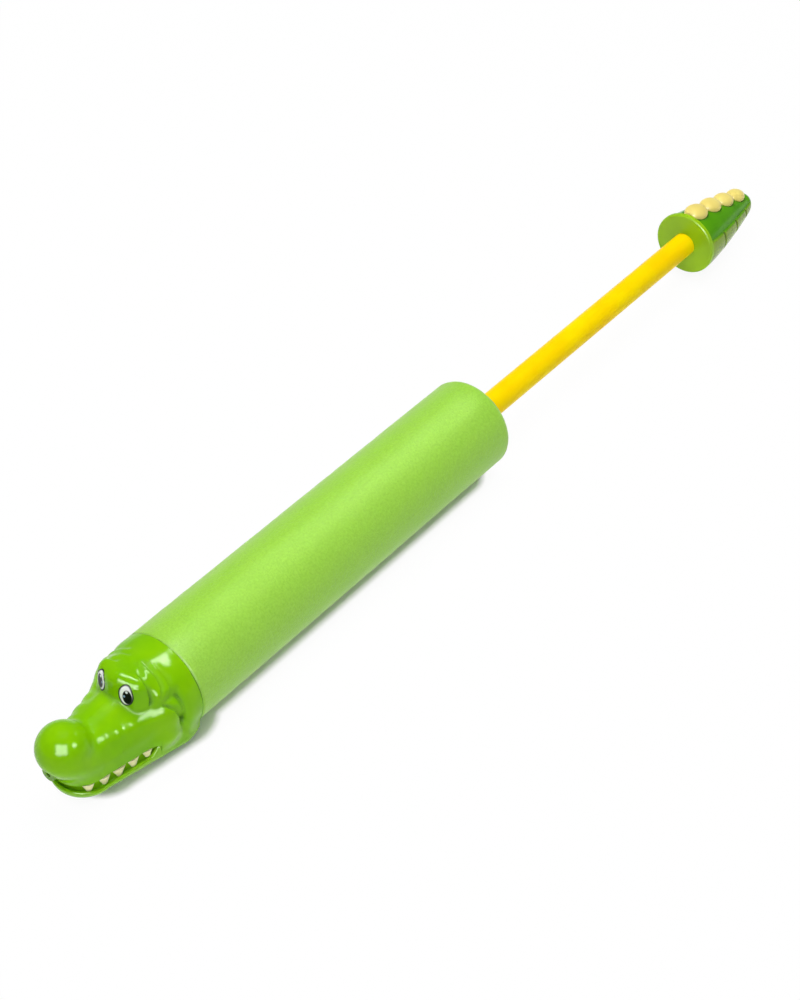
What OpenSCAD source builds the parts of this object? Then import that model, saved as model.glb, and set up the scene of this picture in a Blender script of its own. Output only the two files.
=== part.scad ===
// Plunger water squirter with a crocodile head, a foam-covered barrel and a tail handle.
// Lengths are in millimetres. The barrel axis runs along X and the head points to +X.
// Stations along the axis count from the head collar's rear edge, forward positive.

/* [Foam sleeve] */
// Outside diameter of the foam sleeve and of the head collar
foam_d = 55; // [52:0.5:58]
// Length of the foam sleeve
foam_len = 258; // [200:2:300]
// Rounding of the sleeve's rear edge
foam_edge_r = 5; // [2:0.5:7]
// Depth of the flat that the squirter rests on
rest_flat = 0.5; // [0.3:0.1:0.8]

/* [Barrel] */
// Outside diameter of the barrel tube
barrel_d = 35; // [33:0.5:37]
// Wall of the barrel tube
barrel_wall = 1.6; // [1.2:0.1:2]
// Length of barrel inside the head collar
socket_depth = 14; // [12:0.5:15]
// Thickness of the rear cap's flange
cap_flange_t = 3; // [2:0.5:4]
// Length of the rear cap's spigot inside the barrel
cap_spigot_len = 12.7; // [10:0.1:16]
// Distance from the sleeve's rear face to the rear cap
cap_inset = 1; // [0.5:0.5:3]
// Thickness of the rubber stop washer
washer_t = 3; // [2:0.5:4]

/* [Plunger] */
// Outside diameter of the plunger rod
rod_d = 15; // [13:0.5:16]
// Wall of the plunger rod
rod_wall = 1.4; // [1:0.1:1.8]
// Gap between the tail's disc and the sleeve when the plunger is pushed home
handle_gap = 1; // [0.5:0.5:6]
// Wall of the rod's guide bush
bush_wall = 3; // [2:0.5:4]
// Length of the piston
piston_len = 16; // [15:1:20]
// Depth of the rod's seat in the piston
rod_seat = 9; // [7:0.5:9]
// Cord diameter of the seal rings
seal_cord_d = 2.4; // [2:0.1:3]
// Length of the plugs in the rod's ends
rod_plug_len = 16; // [14:1:20]

/* [Nozzle] */
// Diameter of the water outlet
outlet_d = 3; // [2:0.1:3.5]
// Diameter of the water channel in the nozzle stem
channel_d = 5; // [4:0.5:6]
// Outside diameter of the nozzle stem
stem_d = 10; // [9:0.5:11]
// Outside diameter of the nozzle tip
tip_d = 8; // [7.6:0.2:9]
// Length of the front plug's spigot inside the barrel
plug_spigot_len = 13; // [11:0.5:14]
// Thickness of the front plug's flange
plug_flange_t = 3; // [2:0.5:3.5]

/* [Head] */
// Length of the plain collar behind the face
collar_len = 12; // [10:0.5:14]
// Depth of the side recess behind the eyes, below the collar's surface
cheek_recess = 3.8; // [3:0.2:4.6]
// Diameter of the nose bulb
nose_d = 28.2; // [26:0.2:30]
// Station of the nose bulb's centre
nose_x = 68.7; // [67:0.5:72]
// Height of the nose bulb's centre above the axis
nose_z = 8.6; // [7:0.2:10]
// Depth of the mouth line below the axis
mouth_drop = 11; // [10.8:0.1:12]
// Height of the open mouth
mouth_gap = 4.6; // [4:0.1:5.5]
// Station of the mouth's corner
mouth_corner_x = 28; // [26:1:30]
// Half width of the upper lip at the front
lip_front_r = 15.3; // [14.8:0.1:16]
// Half width of the upper lip at the corner of the mouth
lip_rear_r = 22.5; // [21.5:0.5:23.5]
// Distance that the lower jaw stands out beyond the upper lip
underbite = 2.6; // [2:0.2:3.4]
// Thickness of each eye mound
eye_mound_t = 12; // [11:0.2:13]
// Sideways distance of the eye mounds' outer edge from the middle, before rounding
eye_y = 9; // [8.4:0.1:9.6]
// Width of the printed eye
eye_print_w = 8.2; // [6:0.2:9]
// Height of the printed eye
eye_print_h = 11.6; // [10:0.2:12.6]
// Number of teeth on each side
teeth = 5; // [3:1:6]
// Width of a tooth at its root
tooth_w = 5.8; // [4:0.2:6.4]

/* [Tail] */
// Diameter of the tail's front disc
tail_d = 41; // [38:0.5:44]
// Length of the tail behind the disc
tail_len = 74; // [68:1:80]
// Diameter of the tail's rounded tip
tail_tip_d = 17.2; // [15:0.2:19]
// Lean of the tail below the rod's axis, in degrees
tail_lean = 4.5; // [2:0.5:6]
// Wall of the tail shell
tail_wall = 2; // [1.6:0.1:2.6]
// Thickness of the tail's front disc
disc_t = 3; // [2.5:0.5:4]
// Depth of the rod's socket in the tail
tail_socket = 17; // [14:0.5:20]
// Number of scutes along the tail's back
scutes = 4; // [3:1:4]
// Length of the first scute
scute_len = 20.4; // [19.6:0.2:22]
// Width of the first scute, measured at its widest
scute_w = 14.6; // [13.6:0.2:16]
// Height of the first scute
scute_h = 5.2; // [4.5:0.1:5.6]

/* [Clearances] */
// Radial clearance of turning and sliding fits
run_clear = 0.05; // [0.02:0.01:0.09]
// Radial clearance between assembled pieces
fit_clear = 0.1; // [0.05:0.05:0.2]
// Radial clearance of the loose sleeves round the barrel
sleeve_clear = 0.3; // [0.2:0.05:0.5]
// End clearance of the piston at rest
rest_gap = 0.3; // [0.2:0.1:0.5]
// End clearance of the piston when it is pushed home
end_gap = 1; // [0.5:0.1:2]

/* [Hidden] */
$fn = 96;

big = 200;
overlap = 0.01;

// Barrel and plunger stations
foam_r = foam_d / 2;
barrel_r = barrel_d / 2;
bore_r = barrel_r - barrel_wall;
rod_r = rod_d / 2;
rod_bore_r = rod_r - rod_wall;
bush_r = rod_r + run_clear + bush_wall;
barrel_rear = -foam_len + cap_inset + cap_flange_t;
cap_front = barrel_rear + cap_spigot_len;
washer_front = cap_front + washer_t;
piston_rear = washer_front + rest_gap;
piston_front = piston_rear + piston_len;
plug_rear = socket_depth - plug_spigot_len;
stroke = plug_rear - end_gap - piston_front;
rod_front = piston_rear + rod_seat;
disc_front = -foam_len - stroke - handle_gap;
tail_front = disc_front - disc_t;
tail_end = tail_front - tail_len * cos(tail_lean);
rod_rear = disc_front - tail_socket;

// Screws that hold the rod's two ends
screw_r = 2;
screw_head_r = 4.2;
screw_head_t = 2.5;
screw_len = 14;
socket_wall_t = 3;
boss_wall = 2.6;
cap_lip_t = 1.2;
cap_lip_clear = 0.6;

// Seal rings stand in grooves that leave them just clear of the bore
seal_r = seal_cord_d / 2;
seal_ring_r = bore_r - run_clear - seal_r;
groove_r = seal_ring_r - seal_r - fit_clear;
groove_w = seal_cord_d + 2 * fit_clear;
piston_r = bore_r - sleeve_clear;
seal_stations = [for (side = [-1, 1]) (piston_rear + piston_front) / 2 + side * piston_len / 4];

// Head form, all in stations, sideways distance and height above the axis
collar_r = foam_r - fit_clear;
collar_round = 4.5;
collar_crown_r = 34;
skull_r = collar_r - cheek_recess;
skull_mid_z = 3;
skull_front_x = 24;
skull_round = 8;
temple_mid = [13, 0, 3.5];
temple_half = [24, 23.6, 23];
crown_mid = [17, 0, 8];
crown_half = [18.5, 19.4, 20.2];
nose_r = nose_d / 2;
nose_mid = [nose_x, 0, nose_z];
bridge_front = [56, 0, 1];
bridge_rear = [30, 0, 2];
bridge_front_r = 12.8;
bridge_rear_r = 15.6;
fan_x = 56;

// The cheek roll: points and radii from the nose back to the bulge behind the mouth
roll_points = [[61, 5.2, 2.5], [53, 5, 3.2], [45, 7, 3], [36.5, 8.6, 2.6],
               [20.2, 16, 1.7], [20.5, 17, -7]];
roll_radii = [7.6, 7.8, 7.9, 8.2, 9.9, 9.2];
roll_swell = 0.7;
roll_swells = [1, 2, 3];

// Folds behind each eye and behind the cheek's bulge: turn from the top in degrees, and station
folds = [[[14, 24], [20, 24.5], [29, 25], [43, 25.5], [51, 26.5]],
         [[9, 17], [19, 17.2], [30, 17.3], [40, 18.5], [50, 21.5]],
         [[19, 13.7], [30, 14], [38, 14], [48, 15], [57, 18]],
         [[60, 21.5], [73, 17.5], [87, 15.5], [100, 14.5], [114, 14]]];
fold_depths = [1.1, 1.1, 0.7, 1.4];
fold_rises = [4.5, 3.5, 4, 4];
fold_wall = 1.4;
fold_fade = 5;

// How softly the bodies of the head run into each other
collar_blend = 4;
temple_blend = 1.5;
crown_blend = 3;
eye_blend = 4;
roll_blend = 2;
bridge_blend = 1.6;
lip_blend = 4;
nose_blend = 9;
face_blend = 1.2;
jaw_blend = 3;

// Eye mounds: rounded plates that stand up from the head, with the printed eyes on their fronts
eye_r = eye_mound_t / 2;
eye_pad_mid = [28.9, 1.2, collar_r - 3.8];
eye_pad_side = [26.3, eye_y, collar_r - 6.5];
eye_pad_drop = [0.8, 0.2, -13];
eye_pad_span = eye_pad_side - eye_pad_mid;
eye_facing = cross(eye_pad_drop, eye_pad_span) / norm(cross(eye_pad_drop, eye_pad_span));
eye_mid = eye_pad_mid + 0.64 * eye_pad_span + 0.18 * eye_pad_drop + eye_r * eye_facing;
print_t = 0.6;
print_recess = 0.5;
print_yaw = atan2(eye_facing[1], eye_facing[0]);
print_pitch = asin(eye_facing[2]);
print_tilt_back = 4;

// Mouth and lower jaw
jaw_x = 27;
jaw_seam = 0.1;
lip_front_x = 59;
lip_rear_x = 20;
lip_mid_z = 5 - mouth_drop;
lip_half_h = 8;
lip_round = 5;
jaw_front_r = lip_front_r + underbite;
jaw_rear_r = lip_rear_r + underbite;
jaw_rear_x = 10;
jaw_round = 8;
jaw_top_rear_z = -3;
jaw_top_fall = 5;
jaw_top_rear_x = 8;
chin_z = -21.6;
jaw_base_z = -25;
jaw_ray_z = -16;
rim_z = -mouth_drop - mouth_gap;
rim_w = 2;
trough_z = -18;
plate_t = 1.2;
plate_inset = 2.6;
gum_inset = 3.5;
tooth_len = 5.2;
tooth_t = 3;
tooth_tip_r = 1.3;
tooth_inset = 1.6;
tooth_front_x = 66.5;
tooth_pitch = 8.4;

// Nozzle inside the head, and the relief in the collar
stem_end = 62;
tip_end = 80.4;
tip_spigot_len = 6;
core_r = mouth_drop - 1.6;
core_end = 64;
relief_wall = 2.2;
relief_depth = 10;
rib_t = 1.6;
ribs = 6;

// Tail form
tail_r = tail_d / 2;
tail_tip_r = tail_tip_d / 2;
taper_power = 1.35;
taper_steps = 16;
tail_lead = 4;
disc_round = 1.2;
cap_spigot_depth = 5;
scale_groove_w = 0.9;
scale_groove_depth = 0.7;
scale_grooves = 3;
scale_span = 190;
scute_first = 8;
scute_pitch = 18;
scute_closing = 0.5;
scute_shrink = 0.5;

// The middle of the length and the resting flat give the origin
head_front = nose_x + nose_r;
origin_x = -(head_front + tail_end) / 2;
axis_z = foam_r - rest_flat;

module placed() {
    translate([origin_x, 0, axis_z])
        children();
}

module along_x() {
    rotate([0, 90, 0])
        children();
}

module rod_between(x0, x1, r) {
    translate([x0, 0, 0])
        along_x()
            cylinder(h = x1 - x0, r = r);
}

module tube_between(x0, x1, r_out, r_in) {
    difference() {
        rod_between(x0, x1, r_out);
        rod_between(x0 - 1, x1 + 1, r_in);
    }
}

module seal_ring(x) {
    translate([x, 0, 0])
        along_x()
            rotate_extrude()
                translate([seal_ring_r, 0])
                    circle(r = seal_r, $fn = 32);
}

module seal_groove(x) {
    tube_between(x - groove_w / 2, x + groove_w / 2, bore_r + 1, groove_r);
}

// A screw whose head lies on the seat and whose shank runs along the given direction
module screw(seat_x, direction) {
    translate([seat_x, 0, 0])
        rotate([0, direction * 90, 0]) {
            cylinder(h = screw_len, r = screw_r);
            difference() {
                translate([0, 0, -screw_head_t])
                    cylinder(h = screw_head_t, r = screw_head_r);
                for (turn = [0, 90])
                    rotate(turn)
                        translate([-screw_r, -0.5, -screw_head_t - 1])
                            cube([2 * screw_r, 1, 2]);
            }
        }
}

// Distances to the simple bodies that make up the head
function limit(v, lo, hi) = min(max(v, lo), hi);
function join(a, b, k) =
    let (blend = max(k - abs(a - b), 0) / k)
    min(a, b) - blend * blend * k / 4;
function meet(a, b, k) = -join(-a, -b, k);
function oval(p, c, r) =
    let (q = [for (i = [0:2]) (p[i] - c[i]) / r[i]],
         g = [for (i = [0:2]) q[i] / r[i]],
         n = norm(q))
    n * (n - 1) / (norm(g) + 1e-9);
function limb(p, a, b, ra, rb) =
    let (ab = b - a,
         t = limit(((p - a) * ab) / (ab * ab), 0, 1))
    norm(p - a - t * ab) - (ra + (rb - ra) * t);
function pad(p, a, b, drop, r) =
    let (span = b - a,
         q = p - a,
         across = q - limit((q * span) / (span * span), 0, 1) * span,
         down = across - limit((across * drop) / (drop * drop), 0, 1) * drop)
    norm(down) - r;
function chain(p, points, radii) =
    [for (i = [0:len(points) - 2]) limb(p, points[i], points[i + 1], radii[i], radii[i + 1])];
function joined(list, k, i = 0) =
    i == len(list) - 1 ? list[i] : join(list[i], joined(list, k, i + 1), k);
function tongue(x, y, front_x, front_r, rear_x, rear_r) =
    let (t = limit((x - rear_x) / (front_x - rear_x), 0, 1),
         mid = rear_x + (front_x - rear_x) * t)
    norm([x - mid, y]) - (rear_r + (front_r - rear_r) * t);

function skull_field(p) =
    let (rad = norm([p[1], p[2]]),
         crowned = rad - collar_r + pow(p[0] - collar_len / 2, 2) / (2 * collar_crown_r),
         collar = meet(crowned, p[0] - collar_len, collar_round),
         drum = meet(norm([p[1], p[2] - skull_mid_z]) - skull_r, p[0] - skull_front_x, skull_round),
         temple = join(join(collar, drum, collar_blend), oval(p, temple_mid, temple_half), temple_blend),
         crown = oval(p, crown_mid, crown_half),
         eye = pad(p, eye_pad_mid, eye_pad_side, eye_pad_drop, eye_r))
    join(join(temple, crown, crown_blend), eye, eye_blend);
function roll_field(p) =
    let (swells = [for (i = roll_swells) norm(p - roll_points[i]) - roll_radii[i] - roll_swell])
    joined(concat(chain(p, roll_points, roll_radii), swells), roll_blend);
function snout_field(p) =
    let (bridge = limb(p, bridge_front, bridge_rear, bridge_front_r, bridge_rear_r),
         side = tongue(p[0], p[1], lip_front_x, lip_front_r, lip_rear_x, lip_rear_r),
         lip = meet(side, abs(p[2] - lip_mid_z) - lip_half_h, lip_round),
         muzzle = join(lip, norm(p - nose_mid) - nose_r, nose_blend))
    join(join(bridge, roll_field(p), bridge_blend), muzzle, lip_blend);
function step_up(v, w) =
    let (t = limit(v / w, 0, 1))
    t * t * (3 - 2 * t);

// Depth of the folds below the smooth skin: a steep wall that faces back, then a slow rise
function fold_depth(p) =
    let (turn = atan2(p[1], p[2]))
    max([for (i = [0:len(folds) - 1])
        let (line = folds[i],
             behind = lookup(turn, line) - p[0],
             start = step_up(turn - line[0][0] + fold_fade, 2 * fold_fade),
             finish = step_up(line[len(line) - 1][0] + fold_fade - turn, 2 * fold_fade),
             wall = step_up(behind + fold_wall / 2, fold_wall),
             rise = 1 - step_up(behind - fold_wall / 2, fold_rises[i]))
        fold_depths[i] * min(start, finish) * wall * rise]);
function jaw_field(p) =
    let (side = tongue(p[0], p[1], lip_front_x, jaw_front_r, jaw_rear_x, jaw_rear_r),
         t = limit((p[0] - jaw_rear_x) / (lip_front_x - jaw_rear_x), 0, 1),
         low = jaw_base_z + (chin_z - jaw_base_z) * t,
         u = limit((p[0] - jaw_top_rear_x) / (jaw_x - jaw_top_rear_x), 0, 1),
         high = jaw_top_rear_z - jaw_top_fall * u)
    meet(meet(side, low - p[2], jaw_round), p[2] - high, jaw_blend);
function upper_field(p) = join(skull_field(p), snout_field(p), face_blend) + fold_depth(p);
function head_field(p) =
    p[0] > jaw_x ? upper_field(p) : join(upper_field(p), jaw_field(p), jaw_blend);

// Distance along a ray at which the field changes sign
function reach(start, dir, form, lo = 0, hi = 60, steps = 13) =
    steps == 0 ? (lo + hi) / 2 :
    let (mid = (lo + hi) / 2,
         p = start + mid * dir,
         q = [p[0], abs(p[1]), p[2]],
         inside = (form == "jaw" ? jaw_field(q) : head_field(q)) < 0)
    reach(start, dir, form, inside ? mid : lo, inside ? hi : mid, steps - 1);

// A closed skin round the field: rings of rays square to the axis, then a fan at the front
module field_skin(form, stations, z0, turns, fan_steps) {
    around = len(turns);
    last_x = stations[len(stations) - 1];
    ring_rays = [for (x = stations) [x, 0]];
    fan_rays = [for (i = [1:fan_steps - 1]) [last_x, 90 * i / fan_steps]];
    rays = concat(ring_rays, fan_rays);
    points = [for (ray = rays, i = [0:around - 1])
        let (turn = turns[i],
             start = [ray[0], 0, z0],
             dir = [sin(ray[1]), cos(ray[1]) * cos(turn), cos(ray[1]) * sin(turn)])
        start + reach(start, dir, form) * dir];
    tip = [last_x, 0, z0] + reach([last_x, 0, z0], [1, 0, 0], form) * [1, 0, 0];
    rings = len(rays);
    rear = rings * around;
    front = rear + 1;
    sides = [for (k = [0:rings - 2], i = [0:around - 1], half = [0, 1])
        let (a = k * around + i,
             b = k * around + (i + 1) % around)
        half == 0 ? [a, a + around, b + around] : [a, b + around, b]];
    rear_fan = [for (i = [0:around - 1]) [rear, i, (i + 1) % around]];
    front_fan = [for (i = [0:around - 1])
        [front, (rings - 1) * around + (i + 1) % around, (rings - 1) * around + i]];
    polyhedron(concat(points, [[stations[0], 0, z0], tip]), concat(sides, rear_fan, front_fan));
}

// Outline of the mouth seen from above, drawn in from the lip by a margin
function lip_half_width(x, margin) =
    x > lip_front_x
        ? sqrt(max(pow(lip_front_r - margin, 2) - pow(x - lip_front_x, 2), 0))
        : lip_rear_r - margin + (lip_front_r - lip_rear_r) * (x - lip_rear_x) / (lip_front_x - lip_rear_x);

module mouth_outline(margin, rear_x) {
    r = lip_front_r - margin;
    arc = [for (turn = [-90:6:90]) [lip_front_x + r * cos(turn), r * sin(turn)]];
    rear = lip_half_width(rear_x, margin);
    polygon(concat(arc, [[rear_x, rear], [rear_x, -rear]]));
}

module mouth_block(margin, rear_x, z0, z1) {
    translate([0, 0, z0])
        linear_extrude(height = z1 - z0)
            mouth_outline(margin, rear_x);
}

// Rays stand closer together where the folds and the eye mounds are
module head_skin() {
    coarse = 6;
    fine = 2.5;
    fold_from = 30;
    fold_to = 80;
    turns = concat([for (turn = [fold_from:fine:fold_to]) turn],
                   [for (turn = [fold_to + coarse:coarse:94]) turn],
                   [for (turn = [180 - fold_to:fine:180 - fold_from]) turn],
                   [for (turn = [180 - fold_from + coarse:coarse:384]) turn]);
    stations = concat([for (x = [0:2:10]) x],
                      [for (x = [11:1.1:jaw_x - 1]) x],
                      [jaw_x - overlap, jaw_x + overlap],
                      [for (x = [jaw_x + 1.5:1.5:fan_x]) x]);
    field_skin("head", stations, 0, turns, 16);
}

// Plane of the printed eye, on the front of the eye mound
module eye_plane(side) {
    translate([eye_mid[0], side * eye_mid[1], eye_mid[2]])
        rotate([0, 0, side * print_yaw])
            rotate([0, 90 - print_pitch - print_tilt_back, 0])
                translate([0, 0, -print_recess])
                    children();
}

module oval_plate(w, h, t) {
    linear_extrude(height = t)
        polygon([for (turn = [0:10:350]) [h / 2 * cos(turn), w / 2 * sin(turn)]]);
}

module head_shell() {
    color([0.45, 0.72, 0])
        placed()
            difference() {
                head_skin();
                // Underside of the upper jaw, where the lower jaw closes the head
                translate([jaw_x, -big / 2, -mouth_drop - big])
                    cube([big, big, big]);
                // Resting flat under the collar
                translate([-1, -big / 2, -axis_z - big])
                    cube([big, big, big]);
                // Socket for the barrel and its front plug
                rod_between(-1, socket_depth + plug_flange_t + rest_gap, barrel_r + sleeve_clear);
                // Hollow round the nozzle stem
                rod_between(socket_depth, core_end, core_r);
                rod_between(core_end - 1, head_front + 1, tip_d / 2 + sleeve_clear);
                // Moulding relief in the collar, crossed by ribs
                difference() {
                    tube_between(-1, relief_depth, collar_r - relief_wall,
                                 barrel_r + sleeve_clear + relief_wall);
                    for (i = [0:ribs - 1])
                        rotate([360 * i / ribs, 0, 0])
                            translate([-2, -rib_t / 2, 0])
                                cube([relief_depth + 3, rib_t, collar_r]);
                }
                for (side = [-1, 1])
                    eye_plane(side)
                        oval_plate(eye_print_w + 2 * fit_clear, eye_print_h + 2 * fit_clear, 6);
            }
}

// Space over the jaw's rim, which slopes up to the corner of the mouth
module mouth_wedge() {
    translate([0, big / 2, 0])
        rotate([90, 0, 0])
            linear_extrude(height = big)
                polygon([[mouth_corner_x, -mouth_drop], [mouth_corner_x + mouth_gap, rim_z],
                         [big, rim_z], [big, 0], [mouth_corner_x, 0]]);
}

module lower_jaw() {
    color([0.45, 0.72, 0])
        placed()
            difference() {
                field_skin("jaw", [for (x = [jaw_x - 4:2:lip_front_x]) x], jaw_ray_z,
                           [for (i = [0:47]) 360 * i / 48], 9);
                translate([-big + jaw_x + jaw_seam, -big / 2, -big / 2])
                    cube([big, big, big]);
                translate([0, -big / 2, -mouth_drop - jaw_seam])
                    cube([big, big, big]);
                // Open mouth above the rim and a trough inside it, round the gum block
                difference() {
                    union() {
                        mouth_wedge();
                        mouth_block(rim_w - underbite, mouth_corner_x, trough_z, 0);
                    }
                    mouth_block(gum_inset, mouth_corner_x - 1, trough_z - 1, -mouth_drop - plate_t);
                }
            }
}

// A blunt flat tooth that hangs from the lip
module tooth() {
    straight = tooth_len - tooth_tip_r;
    tip = [for (turn = [200:20:340]) [tooth_tip_r * cos(turn), -straight + tooth_tip_r * sin(turn)]];
    rotate([90, 0, 0])
        linear_extrude(height = tooth_t, center = true)
            polygon(concat([[tooth_w / 2, 0], [-tooth_w / 2, 0]], tip));
}

module tooth_strip() {
    plate_rear = mouth_corner_x + 2 * fit_clear;
    side_turn = atan((lip_rear_r - lip_front_r) / (lip_front_x - lip_rear_x));
    color([0.9, 0.85, 0.6])
        placed() {
            mouth_block(plate_inset, plate_rear, -mouth_drop - plate_t, -mouth_drop);
            for (side = [-1, 1], i = [0:teeth - 1])
                let (x = tooth_front_x - tooth_pitch * i,
                     turn = x > lip_front_x
                         ? asin((x - lip_front_x) / (lip_front_r - tooth_inset)) : side_turn)
                if (x > plate_rear + tooth_w / 2)
                    translate([x, side * lip_half_width(x, tooth_inset), -mouth_drop])
                        rotate([0, 0, -side * turn])
                            tooth();
        }
}

module printed_eye(side) {
    color("white")
        placed()
            eye_plane(side)
                oval_plate(eye_print_w, eye_print_h, print_t);
}

module left_eye() {
    printed_eye(1);
}

module right_eye() {
    printed_eye(-1);
}

module nozzle_plug() {
    color([0.8, 0.8, 0.78])
        placed()
            difference() {
                union() {
                    rod_between(plug_rear, socket_depth + overlap, bore_r - fit_clear);
                    rod_between(socket_depth, socket_depth + plug_flange_t, barrel_r);
                    rod_between(socket_depth, stem_end, stem_d / 2);
                }
                rod_between(plug_rear - 1, stem_end + 1, channel_d / 2);
                seal_groove((plug_rear + socket_depth) / 2);
            }
}

module plug_seal() {
    color([0.1, 0.1, 0.1])
        placed()
            seal_ring((plug_rear + socket_depth) / 2);
}

module nozzle_tip() {
    color([0.75, 0.72, 0.5])
        placed()
            difference() {
                union() {
                    rod_between(stem_end - tip_spigot_len, stem_end + overlap, channel_d / 2 - fit_clear);
                    rod_between(stem_end, tip_end, tip_d / 2);
                }
                rod_between(stem_end - tip_spigot_len - 1, tip_end + 1, outlet_d / 2);
            }
}

module barrel_tube() {
    color([0.85, 0.88, 0.85])
        placed()
            tube_between(barrel_rear, socket_depth, barrel_r, bore_r);
}

module foam_sleeve() {
    inner_r = barrel_r + sleeve_clear;
    rear_arc = [for (turn = [0:10:90])
        [foam_r - foam_edge_r + foam_edge_r * cos(turn),
         -foam_len + foam_edge_r - foam_edge_r * sin(turn)]];
    color([0.6, 0.82, 0.3])
        placed()
            difference() {
                along_x()
                    rotate_extrude()
                        polygon(concat([[inner_r, 0], [foam_r, 0]], rear_arc, [[inner_r, -foam_len]]));
                translate([-big * 2, -big / 2, -axis_z - big])
                    cube([big * 3, big, big]);
            }
}

module rear_cap() {
    color([0.8, 0.8, 0.78])
        placed()
            difference() {
                union() {
                    rod_between(barrel_rear - cap_flange_t, barrel_rear, barrel_r);
                    rod_between(barrel_rear - overlap, cap_front, bore_r - fit_clear);
                }
                rod_between(barrel_rear - cap_flange_t + cap_lip_t, cap_front + 1, bush_r + fit_clear);
                rod_between(barrel_rear - cap_flange_t - 1, cap_front, rod_r + cap_lip_clear);
            }
}

module rod_bush() {
    color([0.95, 0.95, 0.92])
        placed()
            tube_between(barrel_rear - cap_flange_t + cap_lip_t, cap_front, bush_r, rod_r + run_clear);
}

module stop_washer() {
    color([0.12, 0.12, 0.12])
        placed()
            tube_between(cap_front, washer_front, bore_r - sleeve_clear, rod_r + cap_lip_clear);
}

module piston_core() {
    head_seat = piston_front - screw_head_t - 2 * rest_gap;
    color([0.9, 0.9, 0.88])
        placed()
            difference() {
                rod_between(piston_rear, piston_front, piston_r);
                rod_between(piston_rear - 1, rod_front, rod_r + run_clear);
                rod_between(rod_front - 1, piston_front + 1, screw_r + run_clear);
                rod_between(head_seat, piston_front + 1, screw_head_r + sleeve_clear);
                for (x = seal_stations)
                    seal_groove(x);
            }
}

module piston_seals() {
    color([0.1, 0.1, 0.1])
        placed()
            for (x = seal_stations)
                seal_ring(x);
}

module plunger_rod() {
    color([1, 0.85, 0])
        placed()
            tube_between(rod_rear, rod_front, rod_r, rod_bore_r);
}

module rod_end_plug(x0) {
    color([0.9, 0.9, 0.88])
        placed()
            tube_between(x0, x0 + rod_plug_len, rod_bore_r - fit_clear, screw_r + run_clear);
}

module rod_front_plug() {
    rod_end_plug(rod_front - rod_plug_len);
}

module rod_rear_plug() {
    rod_end_plug(rod_rear);
}

module piston_screw() {
    color([0.7, 0.7, 0.72])
        placed()
            screw(piston_front - screw_head_t - rest_gap, -1);
}

module tail_screw() {
    color([0.7, 0.7, 0.72])
        placed()
            screw(rod_rear - socket_wall_t, 1);
}

// Radius of the tail at a distance behind its front rim, and the revolved outline
function tail_radius(s, cut) =
    let (straight = tail_len - tail_tip_r)
    tail_r - cut - (tail_r - tail_tip_r) * pow(limit(s / straight, 0, 1), taper_power);
function tail_outline(cut) =
    let (straight = tail_len - tail_tip_r,
         tip_r = tail_tip_r - cut)
    concat([[0, tail_lead], [tail_r - cut, tail_lead]],
           [for (i = [0:taper_steps]) let (s = straight * i / taper_steps) [tail_radius(s, cut), -s]],
           [for (turn = [15:15:75]) [tip_r * cos(turn), -straight - tip_r * sin(turn)]],
           [[0, -straight - tip_r]]);

// Pieces of the tail, leaned about the middle of its front rim and cut square there
module leaned() {
    difference() {
        translate([tail_front, 0, 0])
            rotate([0, -tail_lean, 0])
                children();
        translate([tail_front, -big / 2, -big / 2])
            cube([big, big, big]);
    }
}

module tail_solid(cut) {
    along_x()
        rotate_extrude()
            polygon(tail_outline(cut));
}

module tail_disc() {
    rim = [for (turn = [0:15:90])
        [tail_r - disc_round + disc_round * cos(turn), disc_t - disc_round + disc_round * sin(turn)]];
    translate([tail_front, 0, 0])
        along_x()
            rotate_extrude()
                polygon(concat([[0, 0], [tail_r, 0]], rim, [[0, disc_t]]));
}

module tail_end_cap() {
    spigot_r = tail_radius(cap_spigot_depth, tail_wall) - fit_clear - cap_spigot_depth * tan(tail_lean);
    color([0.52, 0.7, 0])
        placed()
            difference() {
                union() {
                    tail_disc();
                    rod_between(tail_front - cap_spigot_depth, tail_front + overlap, spigot_r);
                    rod_between(rod_rear - socket_wall_t, tail_front, rod_r + boss_wall);
                }
                rod_between(rod_rear, disc_front + 1, rod_r + fit_clear);
                rod_between(rod_rear - socket_wall_t - 1, rod_rear + 1, screw_r + run_clear);
                tube_between(tail_front - cap_spigot_depth - 1, tail_front,
                             spigot_r - tail_wall, rod_r + boss_wall);
            }
}

module tail_shell() {
    color([0.32, 0.6, 0])
        placed()
            leaned()
                difference() {
                    tail_solid(0);
                    translate([overlap, 0, 0])
                        tail_solid(tail_wall);
                    // Grooves between the belly scales
                    for (i = [1:scale_grooves])
                        let (s = tail_len * i / (scale_grooves + 1.5))
                        translate([-s, 0, 0])
                            along_x()
                                rotate([0, 0, -scale_span / 2])
                                    rotate_extrude(angle = scale_span)
                                        translate([tail_radius(s, scale_groove_depth), -scale_groove_w / 2])
                                            square([tail_r, scale_groove_w]);
                }
}

// An egg-shaped dome that lies along the tail's slope
module scute(half_len, r) {
    slope = atan((tail_r - tail_tip_r) / (tail_len - tail_tip_r));
    profile = [for (turn = [-90:10:90]) [r * cos(turn), half_len * sin(turn)]];
    rotate([0, 90 - slope, 0])
        rotate_extrude()
            polygon(profile);
}

module back_scutes() {
    color([0.9, 0.85, 0.5])
        placed()
            leaned()
                difference() {
                    for (i = [0:scutes - 1])
                        let (s = scute_first + scute_pitch * i - scute_closing * i * i,
                             half_len = scute_len / 2 - scute_shrink * i,
                             r = scute_w / 2 - scute_shrink * i,
                             high = scute_h - scute_shrink * i)
                        translate([-s, 0, tail_radius(s, 0) + high - r])
                            scute(half_len, r);
                    tail_solid(-fit_clear);
                }
}

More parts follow.
